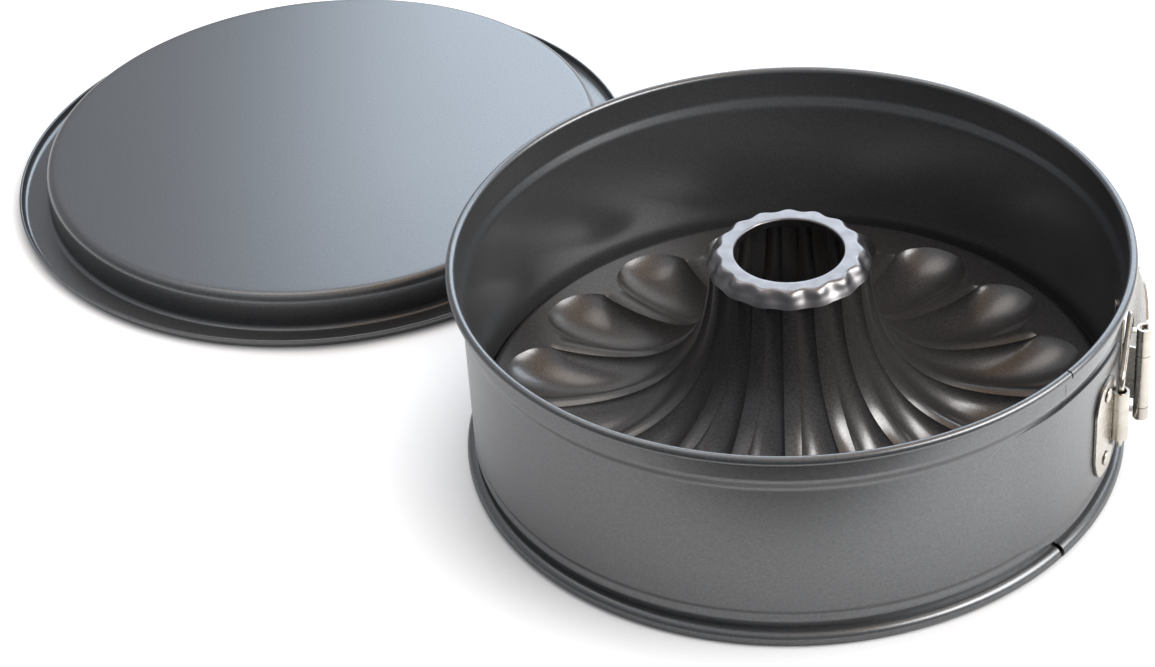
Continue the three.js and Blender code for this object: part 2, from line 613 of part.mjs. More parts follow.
// Bail: a bent wire, upright in the catch's eye, whose two ends turn in behind the lever's hooks
function wireBail() {
  const end = HINGE_AZIMUTH + HOOK_AZIMUTH;
  const high = HINGE_HEIGHT / 2 + WIRE_RISE;
  const eye = CATCH_BARREL_HEIGHT / 2;
  const hookCorner = polar(WIRE_RADIUS, end, high);
  const eyeCorner = polar(CATCH_BARREL_RADIUS, CATCH_AXIS_AZIMUTH, eye + WIRE_BEND);
  const bend = WIRE_BEND / hookCorner.distanceTo(eyeCorner);
  const upper = [
    polar(WIRE_RADIUS, end, high - WIRE_END),
    polar(WIRE_RADIUS, end, high - WIRE_BEND / 2),
    hookCorner.clone().lerp(eyeCorner, bend / 2),
    hookCorner.clone().lerp(eyeCorner, 0.5),
    eyeCorner.clone().lerp(hookCorner, bend / 2),
    polar(CATCH_BARREL_RADIUS, CATCH_AXIS_AZIMUTH, eye + WIRE_BEND / 2),
    polar(CATCH_BARREL_RADIUS, CATCH_AXIS_AZIMUTH, eye / 2),
  ];
  const lower = upper.map((point) => new THREE.Vector3(point.x, point.y, -point.z)).reverse();
  const path = new THREE.CatmullRomCurve3([...upper, ...lower]);
  const circle = new THREE.Shape(range(ROD_SIDES, 0, 360).slice(0, ROD_SIDES).map((angle) => (
    new THREE.Vector2(Math.cos(radians(angle)), Math.sin(radians(angle))).multiplyScalar(WIRE_DIAMETER / 2)
  )));
  const options = { steps: ROD_STEPS, bevelEnabled: false, extrudePath: path };
  return new THREE.ExtrudeGeometry(circle, options).translate(0, 0, CLASP_HEIGHT);
}

// Finishes
const COATED_STEEL = { color: 0x6c6e70, roughness: 0.45, metalness: 0.6 };
const DARK_NON_STICK = { color: 0x3a3634, roughness: 0.35, metalness: 0.3 };
const PLATED_STEEL = { color: 0xc9c7c1, roughness: 0.28, metalness: 1.0 };

function piece(name, geometry, finish) {
  const mesh = new THREE.Mesh(geometry, new THREE.MeshStandardMaterial(finish));
  mesh.name = name;
  return mesh;
}

const pan = new THREE.Group();
pan.add(piece('band', band(), COATED_STEEL));
pan.add(piece('bundt_base', bundtBase(), DARK_NON_STICK));
pan.add(piece('tube_collar', tubeCollar(), PLATED_STEEL));
pan.add(piece('catch_plate', catchPlate(), PLATED_STEEL));
pan.add(piece('hinge_bracket', hingeBracket(), PLATED_STEEL));
pan.add(piece('clasp_lever', claspLever(), PLATED_STEEL));
pan.add(piece('hinge_pin', hingePin(), PLATED_STEEL));
pan.add(piece('wire_bail', wireBail(), PLATED_STEEL));
for (const [place, height] of Object.entries(RIVET_HEIGHTS)) {
  const onTongue = rivet(CATCH_AZIMUTH, height, TONGUE_INNER + GAP / 2, CATCH_OUTER + GAP, false);
  const onBand = rivet(BRACKET_RIVETS, height, BORE_RADIUS - GAP, BRACKET_OUTER + GAP, true);
  pan.add(piece(`catch_rivet_${place}`, onTongue, PLATED_STEEL));
  pan.add(piece(`bracket_rivet_${place}`, onBand, PLATED_STEEL));
}

const plate = piece('flat_base', flatBase(), COATED_STEEL);
plate.position.set(FLAT_BASE_X, FLAT_BASE_Y, 0);

// The set's origin is the middle of the ground that it covers
const set = new THREE.Group();
set.add(pan, plate);
const box = new THREE.Box3().setFromObject(set, true);
const middle = box.getCenter(new THREE.Vector3());
set.position.set(-middle.x, -middle.y, -box.min.z);

export default set;
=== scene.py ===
"""Springform bundt pan: a sprung steel band with an over-centre clasp round a fluted tube base, and the flat
base behind it. Shapes are in millimetres round the pan's own axis, and go into the meshes in metres."""

import math

import bmesh
import bpy
import numpy as np
from mathutils import Matrix, Vector


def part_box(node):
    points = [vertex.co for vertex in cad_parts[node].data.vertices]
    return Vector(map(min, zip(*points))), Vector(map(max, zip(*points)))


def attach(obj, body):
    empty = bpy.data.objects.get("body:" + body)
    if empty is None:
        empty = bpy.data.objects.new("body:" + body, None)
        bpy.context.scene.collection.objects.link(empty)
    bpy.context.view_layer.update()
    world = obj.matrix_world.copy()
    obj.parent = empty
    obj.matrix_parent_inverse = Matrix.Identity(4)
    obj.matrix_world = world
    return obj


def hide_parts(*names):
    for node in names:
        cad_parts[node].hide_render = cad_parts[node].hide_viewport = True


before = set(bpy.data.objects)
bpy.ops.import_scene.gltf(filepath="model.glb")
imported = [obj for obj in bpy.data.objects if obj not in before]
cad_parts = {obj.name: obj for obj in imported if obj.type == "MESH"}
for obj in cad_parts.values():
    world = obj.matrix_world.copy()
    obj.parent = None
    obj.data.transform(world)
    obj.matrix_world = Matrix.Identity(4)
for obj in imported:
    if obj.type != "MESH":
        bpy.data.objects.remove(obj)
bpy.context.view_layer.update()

MM = 0.001


def middle_of(node):
    """Ground point under the middle of a CAD node's box, in millimetres."""
    low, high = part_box(node)
    return np.array([(low.x + high.x) / 2, (low.y + high.y) / 2, 0.0]) / MM


PAN = middle_of("tube_collar")
PLATE = middle_of("flat_base")

# Sizes below are in millimetres, and azimuths in degrees from +X round the pan's axis.

# Sheet and strip
SHEET = 0.7
STRIP = 1.0
STRIP_BEVEL = 0.22
POLE = 0.02  # a turned shape starts at this radius, and a face closes it
SHARP_EDGE = math.radians(38)
BEVEL_EDGE = math.radians(50)

# Band's profile, from the channel at its foot to the rolled rim
WALL = 130.35
CHANNEL_MIDDLE = 2.866
CHANNEL_RADII = (3.35, 2.85)
CHANNEL_SWEEP = (-62, 92)
NECK = WALL - 1.5
NECK_LOW = 5.5
NECK_HIGH = 9.3
WALL_FOOT = 9.9
FOOT_BENDS = (0.65, 0.5, 0.2)
GROOVE_HEIGHT = 13.2
GROOVE_HALF = 2.6
GROOVE_DEPTH = 0.45
FLARE = 2.2
FLARE_LOW = 74.5
FLARE_HIGH = 79.0
FLARE_BEND = 1.3
RIM_MIDDLE = 90.1
RIM_ROLL = 1.55
BAND_STEP = 3.0

# Band's seam: its gap, the channel's cut-back end, and the lap behind the shoulder
SEAM = -40.3
SEAM_GAP = 0.3
SEAM_RUN = 6.0  # degrees beyond the seam where columns stand closer
CUT = 0.6
CUT_HEIGHT = 6.5
CUT_FADE = 2.0
CUT_RUN = 4.0
LAP_HALF = 1.0
LAP_LOW = 72.0
LAP_HIGH = 87.5
LAP_FLARE_LOW = 74.2
LAP_FLARE_RISE = 5.0
LAP_SHEET = 0.5

# Band's tongue
TONGUE_END = -16.0
TONGUE_RUN = 14.0
TONGUE_LOW = 16.8
TONGUE_DROP = 6.5
TONGUE_HIGH = 73.5
TONGUE_TAPER = 6.0
TONGUE_SUNK = 0.12
TONGUE_STEP = 1.12

# Both bases
FLOOR_RISE = 18.0
SIDE = 128.3
EDGE = 4.0
SIDE_STOP = 6.0
FOOT = 130.7

# Fluted tube: profiles down a petal's middle and down the land between two petals
FLUTES = 16
PETAL = 11.0
TUBE_TOP = 88.7
COLLAR_FOOT = 83.6
BOWL_LINE = {"end": 25.8, "top": 28.8, "reach": 29.5, "dip": 9.0, "tip": 120.5, "back": 24.0}
LAND_LINE = {"end": 27.4, "top": 31.7, "reach": 21.0, "dip": 0.0, "tip": 106.8, "back": 3.0}
NECK_ROWS = 4
TRUMPET_ROWS = 64
UPTURN_ROWS = 16
LEVEL_STOPS = np.array([0.05, 0.2, 0.6])
UNDER_STEP = 3  # the underside keeps every third row
BOWL_COLUMNS = 15
LAND_COLUMNS = (0.12, 0.35, 0.65, 1.0)
LAND_STOPS = (0.0, 0.2, 0.5, 0.75, 1.0)
LAND_WIDTHS = (0.48, 0.46, 0.34, 0.2, 0.2)
LAND_BLUR = 6  # rows to either side that its widths are evened over

# Collar: radius in a flute's middle, how much it grows towards a ridge, and height
COLLAR_PARTS = [
    (22.2, 0.0, 86.8), (22.2, 0.0, 89.1), (22.35, 0.0, 89.5), (22.75, 0.0, 89.65), (25.9, 0.7, 89.65),
    (27.0, 1.3, 89.6), (27.7, 1.6, 89.1), (28.5, 1.7, 88.1), (29.6, 1.4, 86.6), (30.8, 1.0, 85.2),
    (31.8, 0.7, 83.8),
]
COLLAR_STEPS = 5
COLLAR_COLUMNS = 24 * FLUTES

# Flat base's gutter and drip rim
GUTTER_BEND = 2.4
LIP = SIDE + 13.1
LIP_WIDTH = 1.2
LIP_TOP = 4.6
LIP_FOOT = 3.2
LIP_BENDS = (0.5, 0.6)
FLAT_STEP = 4.0
FLAT_COLUMNS = 480

# Clasp. A root is where a rolled strip comes from, out and along from its axis, and a sweep how far it rolls.
CLASP_HEIGHT = 40.8
LEAF_ROWS = 25
ROLL_STEP = 0.6
CATCH = -24.5
CATCH_HALF = 4.6
CATCH_HALF_HEIGHT = 21.8
CATCH_TAPER = 0.5
CATCH_INNER = 132.0
EYE = -20.3
EYE_RADIUS = 135.3
EYE_DIAMETER = 6.6
EYE_HALF_HEIGHT = 11.15
EYE_ROOT = (-2.8, -4.0)
EYE_SWEEP = (180, 490)
HINGE = -8.4
HINGE_RADIUS = 139.8
HINGE_DIAMETER = 6.2
HINGE_LOW = 19.0
HINGE_HIGH = 62.6
BRACKET_START = 2.4
BRACKET_END = 17.0
BRACKET_HALF_HEIGHT = 21.0
BRACKET_TAPER = 0.7
BRACKET_INNER = 131.0
BRACKET_ROLL = (24.9, 49.8)
BRACKET_ROOT = (-8.3, 5.4)
BRACKET_SWEEP = (75, -240)
LEVER_START = 1.8
LEVER_END = 22.0
LEVER_NECK = 19.2
LEVER_HALF_HEIGHT = 25.0
LEVER_WIDEST = 0.55
LEVER_TIP = 0.3
LEVER_STAND = 0.4
LEVER_LIFT = 1.8
LEVER_LIFT_START = 0.6
LEVER_ROOT = (0.9, 5.2)
LEVER_SWEEP = (69, 380)
LEVER_ROLLS = ((HINGE_HIGH - 12.5, HINGE_HIGH), (HINGE_LOW, HINGE_LOW + 5.6))
HOOK_WIDTH = 2.6
HOOK_SHEET = 1.0
HOOK_HEIGHTS = (HINGE_HIGH - 2.4, HINGE_LOW + 2.4)
HOOK_REACH = (-7.1, -2.3)
HOOK_GAP = 2.6
PIN_ENDS = (20.8, 60.8)
PIN_CROWN = 0.8
PIN = 1.25
WIRE = 1.25
WIRE_TIP = 0.75
WIRE_RADIUS = 134.2
WIRE_TURN = HINGE + 2.6
WIRE_END_HEIGHT = 16.7
WIRE_HIGH = 25.7
WIRE_EYE_HEIGHT = 16.15
WIRE_BEND = 4.2

# Rivets
RIVET_HEIGHTS = {"upper": 56.1, "lower": 25.5}
RIVET_SHANK = 1.5
RIVET_HEAD = 3.0
RIVET_EDGE = 0.1
RIVET_DOME = 0.75
RIVET_INNER_HEAD = 2.6
RIVET_INNER_EDGE = 2.3
RIVET_INNER_RISE = 0.6
RIVET_INNER_SIDE = 0.4
CATCH_RIVET = {"azimuth": CATCH, "start": 131.15, "seat": 133.3, "headed": False}
BRACKET_RIVET = {"azimuth": HINGE + 10, "start": 129.7, "seat": 132.3, "headed": True}

# Camera, fitted to the photograph's outlines of rim, channel, flat base and tube hole
CAMERA_DISTANCE = 1.315476
CAMERA_RISE = math.radians(37.921)
CAMERA_YAW = math.radians(-3.829)
CAMERA_PITCH = math.radians(1.817)
CAMERA_ROLL = math.radians(-4.245)
SENSOR = 36.0
FOCAL_SHARE = 3191.02 / 1155  # focal length as a share of the picture's width


def place_camera():
    """Stands at a distance and rise from the pan, looks at it, and is then turned by yaw, pitch and roll."""
    eye = CAMERA_DISTANCE * Vector((0, -math.cos(CAMERA_RISE), math.sin(CAMERA_RISE)))
    ahead = -eye.normalized()
    right = Vector((1, 0, 0))
    up = right.cross(ahead)
    sideways_aim = ahead * math.cos(CAMERA_YAW) + right * math.sin(CAMERA_YAW)
    aim = sideways_aim * math.cos(CAMERA_PITCH) + up * math.sin(CAMERA_PITCH)
    level = aim.cross(Vector((0, 0, 1))).normalized()
    upright = level.cross(aim)
    across = level * math.cos(CAMERA_ROLL) + upright * math.sin(CAMERA_ROLL)
    over = upright * math.cos(CAMERA_ROLL) - level * math.sin(CAMERA_ROLL)
    data = bpy.data.cameras.new("camera")
    data.sensor_fit = "HORIZONTAL"
    data.sensor_width = SENSOR
    data.lens = SENSOR * FOCAL_SHARE
    data.clip_end = 50.0
    camera = bpy.data.objects.new("camera", data)
    turn = Matrix((across, over, -aim)).transposed().to_4x4()
    turn.translation = eye + Vector(PAN * MM)
    camera.matrix_world = turn
    bpy.context.scene.collection.objects.link(camera)
    bpy.context.scene.camera = camera


# Lines and surfaces

def arc(centre, radii, start, end, steps):
    """Points of an ellipse in a section: centre + radii * (cos, sin) from start to end degrees."""
    angle = np.radians(np.linspace(start, end, steps + 1))
    return np.stack([centre[0] + radii[0] * np.cos(angle), centre[1] + radii[1] * np.sin(angle)], axis=-1)


def rounded(corners, reach, steps=6):
    """Straight runs between corners; each inner corner P gives way to (1-t)^2 A + 2t(1-t) P + t^2 B,
    where A and B lie on its two runs at the given reach from P, or at 0.48 of the run if that is shorter."""
    p = np.asarray(corners, float)
    inner = p[1:-1]
    back, on = p[:-2] - inner, p[2:] - inner
    back_length = np.linalg.norm(back, axis=1, keepdims=True)
    on_length = np.linalg.norm(on, axis=1, keepdims=True)
    reach = np.broadcast_to(np.asarray(reach, float).reshape(-1, 1), back_length.shape)
    a = inner + back / back_length * np.minimum(reach, 0.48 * back_length)
    b = inner + on / on_length * np.minimum(reach, 0.48 * on_length)
    t = np.linspace(0, 1, steps + 1)[None, :, None]
    curves = (1 - t) ** 2 * a[:, None] + 2 * t * (1 - t) * inner[:, None] + t ** 2 * b[:, None]
    return np.vstack([p[:1], curves.reshape(-1, p.shape[1]), p[-1:]])


def dense(line, step):
    """The same line with extra points, so that no two neighbours are further apart than step."""
    line = np.asarray(line, float)
    length = np.linalg.norm(np.diff(line, axis=0), axis=1)
    line = line[np.concatenate([[True], length > 1e-6])]
    travel = np.concatenate([[0], np.cumsum(length[length > 1e-6])])
    extra = np.linspace(0, travel[-1], int(travel[-1] / step) + 2)
    stops = np.unique(np.round(np.concatenate([travel, extra]), 5))
    stops = stops[np.concatenate([[True], np.diff(stops) > 1e-3])]
    return np.stack([np.interp(stops, travel, line[:, k]) for k in range(line.shape[1])], axis=-1)


def smooth_step(share):
    """3 s^2 - 2 s^3, with s held between 0 and 1."""
    held = np.clip(share, 0, 1)
    return held ** 2 * (3 - 2 * held)


def bezier(points, t):
    """Bernstein sum of three or four control points."""
    p = np.asarray(points, float)
    order = len(p) - 1
    weights = [math.comb(order, k) * t ** k * (1 - t) ** (order - k) for k in range(order + 1)]
    return np.stack(weights, axis=-1) @ p


def smooth_rows(control, steps):
    """Catmull-Rom curve through each row of control points."""
    first = 2 * control[:, :1] - control[:, 1:2]
    last = 2 * control[:, -1:] - control[:, -2:-1]
    padded = np.concatenate([first, control, last], axis=1)
    p0, p1, p2, p3 = (padded[:, k:padded.shape[1] - 3 + k, None] for k in range(4))
    t = (np.arange(steps) / steps)[None, None, :, None]
    curve = 0.5 * (2 * p1 + (p2 - p0) * t + (2 * p0 - 5 * p1 + 4 * p2 - p3) * t ** 2
                   + (3 * p1 - p0 - 3 * p2 + p3) * t ** 3)
    flat = curve.reshape(control.shape[0], -1, control.shape[2])
    return np.concatenate([flat, control[:, -1:]], axis=1)


def sideways(line, distance):
    """Each point moved by distance along the line's left-hand normal; works on stacks of lines."""
    along = np.gradient(line, axis=-2)
    along /= np.maximum(np.linalg.norm(along, axis=-1, keepdims=True), 1e-9)
    return line + distance * np.stack([-along[..., 1], along[..., 0]], axis=-1)


def sheet_section(line, thickness):
    """Closed outline of a strip whose middle follows the line: one face out, the other face back."""
    half = thickness / 2
    return np.concatenate([sideways(line, -half), sideways(line, half)[..., ::-1, :]], axis=-2)


def around(radius, azimuth, height):
    """Points round the pan's axis: (r cos a, r sin a, z), with a in degrees."""
    r, a, z = np.broadcast_arrays(radius, np.radians(azimuth), height)
    return np.stack([r * np.cos(a), r * np.sin(a), z], axis=-1)


def tube_shell(rows, ring=False):
    """Quads between neighbouring rows of points, each row a loop. A ring joins its last row to its first;
    otherwise a face closes either end."""
    index = np.arange(rows.shape[0] * rows.shape[1]).reshape(rows.shape[:2])
    here = index if ring else index[:-1]
    there = np.roll(index, -1, axis=0)[:len(here)]
    quads = np.stack([here, there, np.roll(there, -1, axis=1), np.roll(here, -1, axis=1)], axis=-1)
    ends = [] if ring else [index[:1], index[-1:, ::-1]]
    return rows.reshape(-1, 3), [quads.reshape(-1, 4), *ends]


def plate_shell(outer, inner):
    """A closed plate between two grids of the same size: outer face, inner face and the edge between them."""
    n, m = outer.shape[:2]
    index = np.arange(n * m).reshape(n, m)
    top = np.stack([index[:-1, :-1], index[1:, :-1], index[1:, 1:], index[:-1, 1:]], axis=-1).reshape(-1, 4)
    under = top[:, ::-1] + n * m
    ring = np.concatenate([index[:-1, 0], index[-1, :-1], index[:0:-1, -1], index[0, :0:-1]])
    after = np.roll(ring, -1)
    edge = np.stack([after, ring, ring + n * m, after + n * m], axis=-1)
    return np.concatenate([outer.reshape(-1, 3), inner.reshape(-1, 3)]), [top, under, edge]


def turn_outwards(mesh):
    """Recalculates the normals of closed shells."""
    work = bmesh.new()
    work.from_mesh(mesh)
    bmesh.ops.recalc_face_normals(work, faces=work.faces)
    work.to_mesh(mesh)
    work.free()


def add_piece(name, shells, place, finish, body, stands_for=(), bevel=0.0):
    """One object from closed shells in millimetres round its own axis, its faces turned outwards."""
    starts = np.cumsum([0] + [len(points) for points, _ in shells])
    points = np.concatenate([points for points, _ in shells])
    blocks = [block + start for (_, faces), start in zip(shells, starts) for block in faces]
    mesh = bpy.data.meshes.new(name)
    mesh.from_pydata(((points + place) * MM).tolist(), [], sum((block.tolist() for block in blocks), []))
    turn_outwards(mesh)
    mesh.shade_smooth()
    mesh.set_sharp_from_angle(angle=SHARP_EDGE)
    mesh.materials.append(finish)
    piece = bpy.data.objects.new(name, mesh)
    bpy.context.scene.collection.objects.link(piece)
    if bevel:
        edge = piece.modifiers.new("edge", "BEVEL")
        edge.width = bevel * MM
        edge.segments = 2
        edge.limit_method = "ANGLE"
        edge.angle_limit = BEVEL_EDGE
    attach(piece, body)
    if stands_for:
        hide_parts(*stands_for)


# Band

def groove_at(height):
    """Depth of the wall's groove: a squared cosine about its middle."""
    return GROOVE_DEPTH * np.cos(np.clip((height - GROOVE_HEIGHT) / GROOVE_HALF, -1, 1) * math.pi / 2) ** 2


def band_line():
    """Middle of the band's sheet from the channel's lip up to the end of the rolled rim."""
    shoulder = WALL + FLARE
    channel = arc((WALL, CHANNEL_MIDDLE), CHANNEL_RADII, *CHANNEL_SWEEP, steps=28)
    height = GROOVE_HEIGHT + GROOVE_HALF * np.linspace(-1, 1, 15)
    dip = np.stack([WALL - groove_at(height), height], axis=-1)
    foot = rounded([channel[-1], (NECK, NECK_LOW), (NECK, NECK_HIGH), (WALL, WALL_FOOT), dip[0]], FOOT_BENDS)
    flare = rounded([dip[-1], (WALL, FLARE_LOW), (shoulder, FLARE_HIGH), (shoulder, RIM_MIDDLE)],
                    FLARE_BEND, steps=8)
    curl = arc((shoulder + RIM_ROLL, RIM_MIDDLE), (RIM_ROLL, RIM_ROLL), 180, -120, steps=30)
    return dense(np.vstack([channel, foot[1:], dip[1:], flare[1:], curl[1:]]), BAND_STEP)


def band_shells():
    """The strip all round, its channel cut back a little beyond the seam by two smooth steps; the tongue; and
    a lap that closes the seam behind the shoulder."""
    start, end = SEAM + SEAM_GAP / 2, SEAM + 360 - SEAM_GAP / 2
    azimuths = np.concatenate([np.linspace(start, start + SEAM_RUN, 13),
                               np.linspace(start + SEAM_RUN, end, 271)[1:]])[:, None]
    section = sheet_section(band_line(), SHEET)
    radius, height = section[:, 0], section[:, 1]
    low = 1 - smooth_step((height - CUT_HEIGHT) / CUT_FADE)
    near = 1 - smooth_step((azimuths - start) / CUT_RUN)
    strip = around(radius, azimuths + CUT * low * near, height)
    spots = np.linspace(SEAM - LAP_HALF, SEAM + LAP_HALF, 5)[:, None]
    height = np.linspace(LAP_LOW, LAP_HIGH, 25)
    behind = WALL + FLARE * smooth_step((height - LAP_FLARE_LOW) / LAP_FLARE_RISE)
    lap = [around(behind + side, spots, height) for side in (LAP_SHEET / 2, -LAP_SHEET / 2)]
    return [tube_shell(strip), tongue_shell(), plate_shell(*lap)]


def tongue_shell():
    """The band's left end steps outwards over the right end by a smooth step, and follows the groove below.
    Its edges close in towards its end by the square of its length."""
    azimuths = np.concatenate([np.linspace(SEAM - TONGUE_RUN, SEAM, 49),
                               np.linspace(SEAM, TONGUE_END, 61)[1:]])
    step = smooth_step((azimuths - SEAM + TONGUE_RUN) / TONGUE_RUN)
    share = np.clip((azimuths - SEAM) / (TONGUE_END - SEAM), 0, 1)
    low = TONGUE_LOW - TONGUE_DROP * step + TONGUE_TAPER * share ** 2
    high = TONGUE_HIGH - TONGUE_TAPER * share ** 2
    height = low[:, None] + (high - low)[:, None] * np.linspace(0, 1, 49)
    middle = WALL - TONGUE_SUNK + TONGUE_STEP * step[:, None] - groove_at(height)
    faces = [around(middle + side, azimuths[:, None], height) for side in (SHEET / 2, -SHEET / 2)]
    return plate_shell(*faces)


# Bases

def tube_profile(end, top, reach, dip, tip, back):
    """From the tube's end out under the collar, down a trumpet to a petal's floor, then up to the flat rim.
    The trumpet and the upturn are Bezier curves that meet at the bend, on the petal's floor. Their control
    points stand at shares of the reach, the dip and the back."""
    low = FLOOR_RISE - dip
    start = (top, COLLAR_FOOT)
    bend = (tip - back, low + 0.05 * dip)
    neck = np.linspace((end, TUBE_TOP), start, NECK_ROWS + 1)
    trumpet = bezier([start, (top + 0.12 * reach, 0.42 * TUBE_TOP), (top + reach, low - 0.2 * dip), bend],
                     np.linspace(0, 1, TRUMPET_ROWS))
    upturn = bezier([bend, (tip - 0.3 * back, low + 0.22 * dip), (tip, FLOOR_RISE)],
                    np.linspace(0, 1, UPTURN_ROWS + 1))
    out = tip + (SIDE - EDGE - tip) * LEVEL_STOPS
    level = np.stack([out, np.full(len(out), FLOOR_RISE)], axis=-1)
    return np.vstack([neck[:-1], trumpet, upturn[1:], level])


def land_widths(rows):
    """The land's part of the half flute at each row: set at stops along the trumpet, evened by a running
    mean, and constant below."""
    along = np.clip((np.arange(NECK_ROWS + TRUMPET_ROWS) - NECK_ROWS) / (TRUMPET_ROWS - 1), 0, 1)
    width = np.pad(np.interp(along, LAND_STOPS, LAND_WIDTHS), LAND_BLUR, mode="edge")
    window = 2 * LAND_BLUR + 1
    width = np.convolve(width, np.ones(window) / window, mode="valid")
    return np.concatenate([width, np.full(rows - len(width), width[-1])])


def flute_columns(land):
    """Columns across every flute, which follow the petals' edges: their azimuths, column by row, and their
    shares. From a petal's middle, b runs from 0 to 1 at its edge, then l from 0 to 1 in the land's middle;
    with w as the land's part of the half flute at a row, the column lies at x = b (1 - w) + l w of it. The
    share is 0.9 (1 - (1 - b^2.2)^0.8) + 0.1 sin(pi l / 2): 0 in the petal's middle, 1 in the land's."""
    b = np.concatenate([np.sin(np.linspace(0, math.pi / 2, BOWL_COLUMNS)), np.ones(len(LAND_COLUMNS))])
    l = np.concatenate([np.zeros(BOWL_COLUMNS), LAND_COLUMNS])
    x = b[:, None] * (1 - land) + l[:, None] * land
    share = 0.9 * (1 - (1 - b ** 2.2) ** 0.8) + 0.1 * np.sin(math.pi / 2 * l)
    x = np.concatenate([x, 2 - x[-2:0:-1]])
    share = np.concatenate([share, share[-2:0:-1]])
    flute = np.arange(FLUTES)[:, None, None] * 2
    azimuths = PETAL + (flute + x) * 180 / FLUTES
    return azimuths.reshape(-1, len(land)), np.tile(share, FLUTES)


def base_edge():
    """The bundt base's rounded edge and its side, down to the foot."""
    bend = arc((SIDE - EDGE, FLOOR_RISE - EDGE), (EDGE, EDGE), 90, 0, steps=12)
    return np.vstack([bend, [(SIDE, SIDE_STOP), (SIDE, SHEET)]])


def bundt_shell():
    """Each column's profile lies between a petal's profile and a land's, by its share. The lands are wide
    strips under the collar and narrow towards the floor."""
    bowl = np.vstack([tube_profile(**BOWL_LINE), base_edge()])
    land = np.vstack([tube_profile(**LAND_LINE), base_edge()])
    azimuths, share = flute_columns(land_widths(len(bowl)))
    top = bowl + (land - bowl) * share[:, None, None]
    under = sideways(top, -SHEET)[:, ::UNDER_STEP]
    under[:, 0] = top[:, 0] - (SHEET, 0)
    under[:, -1] = (SIDE - SHEET, 0)
    foot = np.broadcast_to(np.array([(FOOT, SHEET), (FOOT, 0)]), (len(share), 2, 2))
    section = np.concatenate([top, foot, under[:, ::-1]], axis=1)
    columns = np.concatenate([azimuths, azimuths[:, -2:], azimuths[:, ::UNDER_STEP][:, ::-1]], axis=1)
    return tube_shell(around(section[..., 0], columns, section[..., 1]), ring=True)


def collar_shell():
    """A cap over the tube's end: inner lip, flat top, shoulder and skirt. Shoulder and skirt follow the
    flutes: each part's radius grows by its own swing times (1 - cos 16a) / 2 from a flute's middle to a
    ridge, and the section between the parts is a smooth curve."""
    azimuths = np.arange(COLLAR_COLUMNS) * 360 / COLLAR_COLUMNS + PETAL
    lobe = (1 - np.cos(np.radians(azimuths - PETAL) * FLUTES)) / 2
    radius, swing, height = np.array(COLLAR_PARTS).T
    radii = radius + swing * lobe[:, None]
    control = np.stack([radii, np.broadcast_to(height, radii.shape)], axis=-1)
    section = sheet_section(smooth_rows(control, COLLAR_STEPS), SHEET)
    return tube_shell(around(section[..., 0], azimuths[:, None], section[..., 1]), ring=True)


def flat_base_shell():
    """Flat disc, rounded edge, side, gutter and the drip rim's folded lip, turned about the axis."""
    wall = arc((SIDE - EDGE, FLOOR_RISE - EDGE), (EDGE, EDGE), 90, 0, steps=14)
    bend = (GUTTER_BEND, GUTTER_BEND)
    inner = arc((SIDE + GUTTER_BEND, SHEET + GUTTER_BEND), bend, 180, 270, steps=10)
    outer = arc((LIP - GUTTER_BEND, SHEET + GUTTER_BEND), bend, 270, 345, steps=10)
    fold = rounded([outer[-1], (LIP, LIP_TOP), (LIP + LIP_WIDTH, LIP_TOP), (LIP + LIP_WIDTH, LIP_FOOT)],
                   LIP_BENDS)
    top = dense(np.vstack([[(POLE, FLOOR_RISE)], wall, inner, outer, fold[1:]]), FLAT_STEP)
    under = sideways(top, -SHEET)
    under[0] = (POLE, FLOOR_RISE - SHEET)
    section = np.vstack([top, under[::-1]])
    azimuths = np.arange(FLAT_COLUMNS) * 360 / FLAT_COLUMNS
    return tube_shell(around(section[:, :1], azimuths, section[:, 1:]))


# Clasp

def plan(radius, azimuth, out, along):
    """Ground points in a frame that stands at one azimuth, x outwards and y along the band."""
    a = math.radians(azimuth)
    out, along = np.broadcast_arrays(np.asarray(out, float) + radius, np.asarray(along, float))
    x = out * math.cos(a) - along * math.sin(a)
    y = out * math.sin(a) + along * math.cos(a)
    return np.stack([x, y], axis=-1)


def raised(ground, heights):
    """Each ground point at each height."""
    x, y, z = np.broadcast_arrays(ground[:, :1], ground[:, 1:], heights)
    return np.stack([x, y, z], axis=-1)


def bent_leaf(start, end, inner, half):
    """A strip bent round the pan's axis. Its half height has one value per step of its length, and its inner
    radius one value or as many."""
    azimuths = np.linspace(start, end, len(half))[:, None]
    height = CLASP_HEIGHT + half[:, None] * np.linspace(-1, 1, LEAF_ROWS)
    inner = np.broadcast_to(inner, half.shape)[:, None]
    return plate_shell(around(inner + STRIP, azimuths, height), around(inner, azimuths, height))


def knuckle(azimuth, radius, diameter, root, start, end, low, high):
    """An upright strip that comes from root and rolls round an upright axis, from start to end degrees, where
    0 is outwards and 90 along the band."""
    roll = (diameter - STRIP) / 2
    line = dense(np.vstack([root, arc((0, 0), (roll, roll), start, end, steps=40)]), ROLL_STEP)
    ground = plan(radius, azimuth, line[:, 0], line[:, 1])
    heights = np.linspace(low, high, 9)
    return plate_shell(*(raised(sideways(ground, side), heights) for side in (STRIP / 2, -STRIP / 2)))


def turned(profile, sides):
    """A profile of (radius, height along the axis), turned about +X."""
    profile = np.asarray(profile, float)
    angle = np.linspace(0, 2 * math.pi, sides, endpoint=False)[None, :]
    r, x = profile[:, :1], profile[:, 1:]
    return np.stack([x + 0 * angle, r * np.cos(angle), r * np.sin(angle)], axis=-1)


